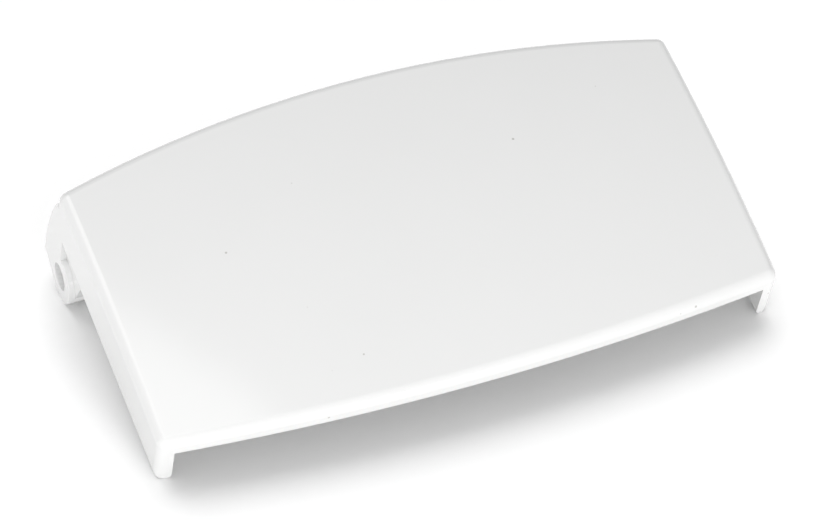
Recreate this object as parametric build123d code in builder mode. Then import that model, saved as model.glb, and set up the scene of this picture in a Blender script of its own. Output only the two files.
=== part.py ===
"""Washing machine door handle: one white plastic moulding that turns on a pin through its two bosses."""
import os
from math import acos, asin, atan2, cos, degrees, hypot, sin, sqrt

from build123d import *

# Cover plate
length = 105.0
end_run = 48.4
back_bulge = 6.3
front_bulge = 3.8
arch = 2.4
crown = 1.2
plate_wall = 3.0
edge_round = 1.7

# End walls, whose front ends are the feet
end_wall = 2.5
end_wall_depth = 10.3
foot_round = 0.9

# Pivot: a boss at each end, carried by a lug behind the end wall and by a post that sweeps back below
# the back corner
pivot_from_front = 44.6
pivot_depth = 19.2
bore_diameter = 4.8
boss_diameter = 9.3
boss_length = 9.0
lug_wall = 3.2
lug_recess = 1.0
lug_flare = 3.0
post_run = 3.2
post_sweep = 2.25
post_heel = 3.3
post_depth = 20.8

# Back wall, and the tongue at its middle that works the latch between two cheeks
back_wall = 2.2
back_wall_depth = 6.5
tongue_width = 20.0
tongue_depth = 21.5
cheek_wall = 2.2
cheek_ring = 1.6

# Stiffening ribs between the back wall and the finger space
rib_wall = 1.4
rib_pitch = 12.5
ribs_each_side = 2
rib_front = 18.0
rib_depth = 6.0

half = length / 2
boss_radius = boss_diameter / 2
cheek_radius = bore_diameter / 2 + cheek_ring
lug_front = pivot_from_front - boss_radius
post_front = end_run - post_run
heel_run = end_run + post_heel - pivot_from_front
heel_drop = post_depth - pivot_depth
heel_turn = atan2(heel_drop, heel_run) + acos(boss_radius / hypot(heel_run, heel_drop))
heel_touch = (pivot_from_front + boss_radius * cos(heel_turn), -pivot_depth - boss_radius * sin(heel_turn))
arch_radius = (half**2 + arch**2) / (2 * arch)
crown_radius = ((end_run / 2) ** 2 + crown**2) / (2 * crown)
back_edge = end_run + back_bulge
margin = back_bulge + front_bulge
block_low = pivot_depth + boss_diameter + tongue_depth
block_high = arch + crown + plate_wall

# The handle lies on its front feet and its bosses, so the plate leans forward by the slope of the line
# from the front of a foot that touches the boss from below.
foot_front = -front_bulge * (1 - (1 - end_wall / half) ** 2)
lean_run = pivot_from_front - foot_front
lean_drop = pivot_depth - end_wall_depth
lean = atan2(lean_drop, lean_run) + asin(boss_radius / hypot(lean_run, lean_drop))

# The plate's own plane: X along the length, Y from the front corners to the back, Z out of its face at
# the corners. The middle of the pivot is the origin of the part.
lengthwise = Vector(1, 0, 0)
backward = Vector(0, cos(lean), sin(lean))
outward = Vector(0, -sin(lean), cos(lean))
plate_plane = Plane(
    origin=outward * pivot_depth - backward * pivot_from_front,
    x_dir=lengthwise,
    z_dir=outward,
)


def across(x):
    """Plane across the handle at x, with the plate's Y and Z as its own X and Y."""
    return Plane(origin=plate_plane.from_local_coords((x, 0, 0)), x_dir=backward, z_dir=lengthwise)


def facing(y):
    """Plane along the handle at y, with the plate's X and Z as its own X and Y."""
    return Plane(origin=plate_plane.from_local_coords((0, y, 0)), x_dir=lengthwise, z_dir=-backward)


def crown_level(y, inset):
    """Height over the arch's axis, at the middle of the length, of a face inset below the crowned one."""
    return arch_radius + crown - crown_radius + sqrt((crown_radius - inset) ** 2 - (y - end_run / 2) ** 2)


def crown_solid(upper, lower):
    """Solid turned about the arch's axis between two insets below the crowned face."""
    front, middle, back = -margin, end_run / 2, end_run + margin
    half_turn = 1.5 * asin(half / arch_radius)
    start = Plane(
        origin=plate_plane.from_local_coords((0, 0, arch - arch_radius)),
        x_dir=backward,
        z_dir=lengthwise * cos(half_turn) + outward * sin(half_turn),
    )
    with BuildPart() as turned:
        with BuildSketch(start):
            with BuildLine():
                ThreePointArc(*[(y, crown_level(y, upper)) for y in (front, middle, back)])
                Line((back, crown_level(back, upper)), (back, crown_level(back, lower)))
                ThreePointArc(*[(y, crown_level(y, lower)) for y in (back, middle, front)])
                Line((front, crown_level(front, lower)), (front, crown_level(front, upper)))
            make_face()
        revolve(axis=Axis(start.origin, backward), revolution_arc=degrees(2 * half_turn))
    return turned.part


# Solid block with the outside of the handle: straight ends, a curved back edge and a flatter front edge
# under the crowned face, with its upper edges and its corners rounded
with BuildPart() as outer_block:
    with BuildSketch(plate_plane.offset(-block_low)):
        with BuildLine():
            ThreePointArc((-half, 0), (0, -front_bulge), (half, 0))
            Line((half, 0), (half, end_run))
            ThreePointArc((half, end_run), (0, back_edge), (-half, end_run))
            Line((-half, end_run), (-half, 0))
        make_face()
    extrude(amount=block_low + block_high)
    add(crown_solid(0, 2 * block_low), mode=Mode.INTERSECT)
    upper_edges = outer_block.faces().sort_by(Axis(plate_plane.origin, outward))[-1].edges()
    corner_edges = outer_block.edges().filter_by(Axis(plate_plane.origin, outward))
    fillet(upper_edges + corner_edges, edge_round)

# Walls, cheeks and ribs under the plate, each longer than the outline, up to the middle of the plate's wall
with BuildPart() as under_plate:
    for side in (-1, 1):
        # End wall with a straight, rounded lower edge
        with BuildSketch(facing(-margin)) as wall_section:
            with Locations((side * (half - end_wall / 2), block_high)):
                Rectangle(end_wall, block_high + end_wall_depth, align=(Align.CENTER, Align.MAX))
            fillet(wall_section.vertices().group_by(Axis.Y)[0], foot_round)
        extrude(amount=-(margin + end_run - post_run / 2))

        # Cheek that ties the tongue to the plate and holds the middle of the pin
        with BuildSketch(across(side * (tongue_width / 2))):
            with BuildLine():
                Polyline(
                    (lug_front - lug_flare, block_high),
                    (pivot_from_front - cheek_radius, -pivot_depth),
                    (pivot_from_front, -pivot_depth),
                    (pivot_from_front, -pivot_depth - cheek_radius),
                    (back_edge + margin, -tongue_depth),
                    (back_edge + margin, block_high),
                    close=True,
                )
            make_face()
            with Locations((pivot_from_front, -pivot_depth)):
                Circle(cheek_radius)
        extrude(amount=-side * cheek_wall)

        # Ribs that deepen from the finger space to the back wall
        for place in range(ribs_each_side):
            with BuildSketch(across(side * (tongue_width / 2 + (place + 1) * rib_pitch))):
                with BuildLine():
                    Polyline(
                        (rib_front, block_high),
                        (rib_front, 0),
                        (lug_front, -rib_depth),
                        (back_edge + margin, -rib_depth),
                        (back_edge + margin, block_high),
                        close=True,
                    )
                make_face()
            extrude(amount=rib_wall / 2, both=True)

    # Back wall along the curved edge, and its deep tongue
    for wall_depth, half_width in ((back_wall_depth, half + margin), (tongue_depth, tongue_width / 2)):
        with BuildSketch(plate_plane.offset(-wall_depth)):
            with BuildLine():
                ThreePointArc(
                    (-half, end_run - back_wall), (0, back_edge - back_wall), (half, end_run - back_wall)
                )
                Polyline(
                    (half, end_run - back_wall),
                    (half, back_edge + margin),
                    (-half, back_edge + margin),
                    (-half, end_run - back_wall),
                )
            make_face()
            with Locations((0, back_edge)):
                Rectangle(2 * half_width, 4 * margin, mode=Mode.INTERSECT)
        extrude(amount=wall_depth + block_high)

    add(crown_solid(plate_wall / 2, 2 * block_low), mode=Mode.INTERSECT)
    add(crown_solid(-plate_wall, plate_wall))

with BuildPart() as door_handle:
    add(outer_block.part)
    add(under_plate.part, mode=Mode.INTERSECT)

    for side in (-1, 1):
        # Post level with the outside of the end wall, from the back corner to a heel behind the boss
        with BuildSketch(across(side * half)):
            with BuildLine():
                ThreePointArc(
                    (end_run, -plate_wall),
                    (end_run + post_sweep, -post_depth / 2),
                    (end_run + post_heel, -post_depth),
                )
                Polyline(
                    (end_run + post_heel, -post_depth),
                    heel_touch,
                    (pivot_from_front, -pivot_depth),
                    (post_front, -plate_wall),
                    (end_run, -plate_wall),
                )
            make_face()
        extrude(amount=-side * end_wall)

        # Lug behind the end wall, down to the boss
        with BuildSketch(across(side * (half - lug_recess))):
            with BuildLine():
                Polyline(
                    (lug_front - lug_flare, -plate_wall),
                    (lug_front - lug_flare, -end_wall_depth),
                    (lug_front, -pivot_depth),
                    (pivot_from_front, -pivot_depth),
                    (post_front, -plate_wall),
                    close=True,
                )
            make_face()
        extrude(amount=-side * lug_wall)

        # Boss level with the outside of the end wall
        with BuildSketch(across(side * half)):
            with Locations((pivot_from_front, -pivot_depth)):
                Circle(boss_radius)
        extrude(amount=-side * boss_length)

    # Hole for the pin, through the bosses and the cheeks
    with BuildSketch(across(0)):
        with Locations((pivot_from_front, -pivot_depth)):
            Circle(bore_diameter / 2)
    extrude(amount=half, both=True, mode=Mode.SUBTRACT)

os.makedirs("parts", exist_ok=True)
door_handle.part.label = "door_handle"
export_step(door_handle.part, "parts/door_handle.step")
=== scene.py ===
# %% [markdown]
# # A washing machine door handle
#
# The handle is one white plastic moulding. Its shape comes from the CAD part, so this lesson gives it
# a finish, lays it on a studio floor and lights it as in a catalogue picture.

# %% Load the handle
from math import radians

import bmesh
import bpy
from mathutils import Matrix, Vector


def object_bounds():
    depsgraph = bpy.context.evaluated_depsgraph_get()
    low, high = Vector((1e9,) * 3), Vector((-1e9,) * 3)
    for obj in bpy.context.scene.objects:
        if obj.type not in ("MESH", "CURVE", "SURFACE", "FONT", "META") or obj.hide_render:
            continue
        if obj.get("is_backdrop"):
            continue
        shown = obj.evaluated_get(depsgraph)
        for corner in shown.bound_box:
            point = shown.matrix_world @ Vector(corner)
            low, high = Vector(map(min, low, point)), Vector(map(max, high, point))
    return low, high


if "Cube" in bpy.data.objects:
    bpy.data.objects.remove(bpy.data.objects["Cube"])
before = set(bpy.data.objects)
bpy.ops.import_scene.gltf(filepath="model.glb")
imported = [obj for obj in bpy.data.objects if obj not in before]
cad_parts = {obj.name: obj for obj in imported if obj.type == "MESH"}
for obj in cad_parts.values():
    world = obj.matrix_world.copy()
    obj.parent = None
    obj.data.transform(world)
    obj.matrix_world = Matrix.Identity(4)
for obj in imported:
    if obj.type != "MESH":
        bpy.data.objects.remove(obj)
bpy.context.view_layer.update()
cad_low, cad_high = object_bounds()
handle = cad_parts["door_handle"]
mm_per_metre = 1000
print("handle, mm:", [round(mm_per_metre * side, 1) for side in cad_high - cad_low])


# %% [markdown]
# ## Helpers for nodes
#
# A finish in Blender is a tree of nodes. They could be laid out by hand in the shader editor. In a script
# every value and every link would take a line, so one helper adds a node with all of its inputs at once.

# %% Helpers for nodes
def node_adder(tree):
    """Function that adds a node to a tree and sets or links its inputs."""
    def add(kind, inputs=None, **settings):
        node = tree.nodes.new(kind)
        for setting, value in settings.items():
            setattr(node, setting, value)
        for socket, value in (inputs or {}).items():
            if isinstance(value, bpy.types.NodeSocket):
                tree.links.new(value, node.inputs[socket])
            else:
                node.inputs[socket].default_value = value
        return node

    return add


def new_material(name):
    """Material with an empty node tree, and the function that adds nodes to it."""
    material = bpy.data.materials.new(name)
    material.use_nodes = True
    material.node_tree.nodes.clear()
    return material, node_adder(material.node_tree)


def mix_colours(add, amount, first, second):
    """Colour between two others. A Mix node has its sockets for colours at these places."""
    return add("ShaderNodeMix", {0: amount, 6: first, 7: second}, data_type="RGBA").outputs[2]


# %% [markdown]
# ## Moulded white
#
# The real handle is glossy ABS or polypropylene from a polished mould, and its white isn't perfectly
# even. A picture could be wrapped round it for this, but that needs a map of the surface and blurs up
# close. A noise in the handle's own coordinates needs no map and holds from near and far.

# %% Moulded white
plastic, add = new_material("white_plastic_gloss")
place = add("ShaderNodeTexCoord").outputs["Object"]
cloudy = add("ShaderNodeTexNoise", {"Vector": place, "Scale": 45.0, "Detail": 3.0}).outputs["Fac"]
duller_white = (0.762, 0.764, 0.76, 1.0)
brighter_white = (0.782, 0.783, 0.78, 1.0)
white = mix_colours(add, cloudy, duller_white, brighter_white)
print("whites from", duller_white[:3], "to", brighter_white[:3])

# %% [markdown]
# ## Specks of dust
#
# A few specks of dust lie on the plate. They could be pieces of their own, but dust this fine has no
# height to see, so it is only a colour. A Voronoi texture cuts space into cells, each round a point and
# with a random colour. A speck shows where the surface passes close to the point of one of the few cells
# that this colour picks out.

# %% Specks of dust
specks = add("ShaderNodeTexVoronoi", {"Vector": place, "Scale": 350.0, "Randomness": 1.0})
near = add("ShaderNodeMapRange", {"Value": specks.outputs["Distance"], "From Min": 0.05, "From Max": 0.09,
                                  "To Min": 1.0, "To Max": 0.0}).outputs["Result"]
chance = add("ShaderNodeSeparateColor", {"Color": specks.outputs["Color"]}).outputs["Red"]
clean_share = 0.92
few = add("ShaderNodeMath", {0: chance, 1: clean_share}, operation="GREATER_THAN").outputs[0]
dust = add("ShaderNodeMath", {0: near, 1: few}, operation="MULTIPLY").outputs[0]
dust_grey = (0.5, 0.49, 0.47, 1.0)
dusty = mix_colours(add, dust, white, dust_grey)
print("level of red above which a cell has a speck:", clean_share)

# %% [markdown]
# ## Gloss and skin
#
# The polished mould leaves a gloss that varies a little, on a skin that waves faintly where the plastic
# shrank. The waves could be real ones in the mesh, but that takes far more faces. A bump only turns the
# light, and that is all that shows of waves this low.

# %% Gloss and skin
gloss = add("ShaderNodeMapRange", {"Value": cloudy, "To Min": 0.1, "To Max": 0.13}).outputs["Result"]
waves = add("ShaderNodeTexNoise", {"Vector": place, "Scale": 90.0, "Detail": 1.0}).outputs["Fac"]
skin = add("ShaderNodeBump", {"Height": waves, "Strength": 0.02, "Distance": 0.0004}).outputs["Normal"]
shader = add("ShaderNodeBsdfPrincipled",
             {"Base Color": dusty, "Roughness": gloss, "Normal": skin, "IOR": 1.5})
add("ShaderNodeOutputMaterial", {"Surface": shader.outputs["BSDF"]})
handle.material_slots[0].material = plastic
print("nodes in the plastic:", len(plastic.node_tree.nodes))

# %% [markdown]
# ## Floor
#
# The handle lies on a sheet of white paper that is wide enough to fill the picture. The paper's fibres
# make its white a little uneven. A curved backdrop could rise behind it, but the room's background is
# white too, so a flat sheet does as well.

# %% Paper
paper, add = new_material("studio_paper")
place = add("ShaderNodeTexCoord").outputs["Object"]
fibres = add("ShaderNodeTexNoise", {"Vector": place, "Scale": 600.0, "Detail": 2.0}).outputs["Fac"]
tone = add("ShaderNodeMapRange", {"Value": fibres, "To Min": 0.955, "To Max": 0.975}).outputs["Result"]
shader = add("ShaderNodeBsdfPrincipled", {"Base Color": tone, "Roughness": 0.9, "Specular IOR Level": 0.1})
add("ShaderNodeOutputMaterial", {"Surface": shader.outputs["BSDF"]})
print("nodes in the paper:", len(paper.node_tree.nodes))

# %% Floor
floor_half = 1.5
sheet = bmesh.new()
bmesh.ops.create_grid(sheet, x_segments=1, y_segments=1, size=floor_half)
floor_mesh = bpy.data.meshes.new("floor")
sheet.to_mesh(floor_mesh)
sheet.free()
floor_mesh.materials.append(paper)
floor = bpy.data.objects.new("floor", floor_mesh)
floor.location.z = cad_low.z
bpy.context.scene.collection.objects.link(floor)
floor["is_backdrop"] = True
print("floor at, mm:", round(mm_per_metre * floor.location.z, 2))

# %% [markdown]
# ## Room light
#
# White walls light the handle from all round, so its shadow is soft and lies close to it. The room is
# bright at the front left and dim behind, which draws the dark line along the handle's rounded back edge.
# Real walls could be built for this, but a world whose light changes with direction does the same with
# less noise. The camera alone sees plain white. The gloss goes on reflecting the walls, because the dark
# line comes from the dim one.

# %% Room
world = bpy.data.worlds.new("studio")
bpy.context.scene.world = world
world.use_nodes = True
tree = world.node_tree
tree.nodes.clear()
add = node_adder(tree)
way = add("ShaderNodeTexCoord").outputs["Generated"]
bright_side = (-0.4, -0.9, 0.0)
forward = add("ShaderNodeVectorMath", {0: way, 1: bright_side}, operation="DOT_PRODUCT").outputs["Value"]
dim_wall, bright_wall = 0.33, 0.73
level = add("ShaderNodeMapRange", {"Value": forward, "From Min": -0.8, "From Max": 0.5,
                                   "To Min": dim_wall, "To Max": bright_wall},
            interpolation_type="SMOOTHSTEP").outputs["Result"]
white_wall = (1.0, 1.0, 1.0, 1.0)
walls = add("ShaderNodeBackground", {"Color": white_wall, "Strength": level}).outputs[0]
backdrop = add("ShaderNodeBackground", {"Color": white_wall, "Strength": 1.0}).outputs[0]
in_view = add("ShaderNodeLightPath").outputs["Is Camera Ray"]
seen = add("ShaderNodeMixShader", {0: in_view, 1: walls, 2: backdrop}).outputs[0]
add("ShaderNodeOutputWorld", {"Surface": seen})
print("nodes in the room:", len(tree.nodes))


# %% [markdown]
# ## Lamps
#
# A softbox hangs over the left end. Its right edge, turned a little, shows in the near left corner of
# the gloss. A wide panel stands low in front and brightens the lip, the feet and the left wall. Two broad
# suns light the paper. The one behind throws the soft shadow forward, and the low one in front shines in
# under the lip and keeps that shadow grey. The same lamps could light both, but paper this white would
# then mean too much light on the handle. Light linking gives each lamp only the handle or only the paper.

# %% Lamps
def add_lamp(name, kind, location, receiver, **settings):
    """Lamp that faces the middle of the pivot and lights only the receiver."""
    lamp = bpy.data.lights.new(name, kind)
    for setting, value in settings.items():
        setattr(lamp, setting, value)
    holder = bpy.data.objects.new(name, lamp)
    holder.location = location
    holder.rotation_euler = (-holder.location).to_track_quat("-Z", "Y").to_euler()
    lit = bpy.data.collections.new(name + "_lights")
    lit.objects.link(receiver)
    holder.light_linking.receiver_collection = lit
    bpy.context.scene.collection.objects.link(holder)
    print(name, "lights", receiver.name, "with", round(lamp.energy, 2))
    return holder


softbox = add_lamp("softbox", "AREA", (-0.287, 0.065, 0.8), handle, energy=3.1,
                   shape="RECTANGLE", size=0.6, size_y=0.8)
# The softbox faces straight down instead
softbox_turn = 17.8
softbox.rotation_euler = (0.0, 0.0, radians(softbox_turn))
add_lamp("front_panel", "AREA", (-0.15, -1.06, 0.105), handle, energy=5.2,
         shape="RECTANGLE", size=1.0, size_y=0.2)
add_lamp("back_sun", "SUN", (0.05, 0.52, 0.94), floor, energy=1.8, angle=radians(60.0))
add_lamp("front_sun", "SUN", (0.1, -1.05, 0.22), floor, energy=1.1, angle=radians(20.0))

# %% [markdown]
# ## Camera
#
# The picture was taken from the front left, about 42 degrees above the floor, with a long lens. A camera
# could be placed by eye. The place, turn and lens of this one were worked out from the handle's outline,
# because a long lens moves the picture a long way for a small turn.

# %% Camera
camera_data = bpy.data.cameras.new("camera")
camera_data.sensor_width = 36.0
camera_data.lens = 207.78
camera_data.clip_start = 0.01
camera_data.clip_end = 10.0
camera = bpy.data.objects.new("camera", camera_data)
camera.location = (-0.21216, -0.54774, 0.51327)
camera_turns = (48.082, 0.033, -21.983)
camera.rotation_euler = [radians(turn) for turn in camera_turns]
bpy.context.scene.collection.objects.link(camera)
bpy.context.scene.camera = camera
bpy.context.scene.view_settings.view_transform = "Standard"
print("camera from the pivot, mm:", round(mm_per_metre * camera.location.length))

# %% [markdown]
# ## Sizes
#
# The finish adds no thickness, so the visible handle and the CAD part fill the same box. It could be
# judged by eye, but two boxes of numbers show it to the micrometre.

# %% Sizes
bpy.context.view_layer.update()
low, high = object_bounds()
added = max(*(cad_low - low), *(high - cad_high))
print("largest growth, mm:", round(mm_per_metre * added, 3))
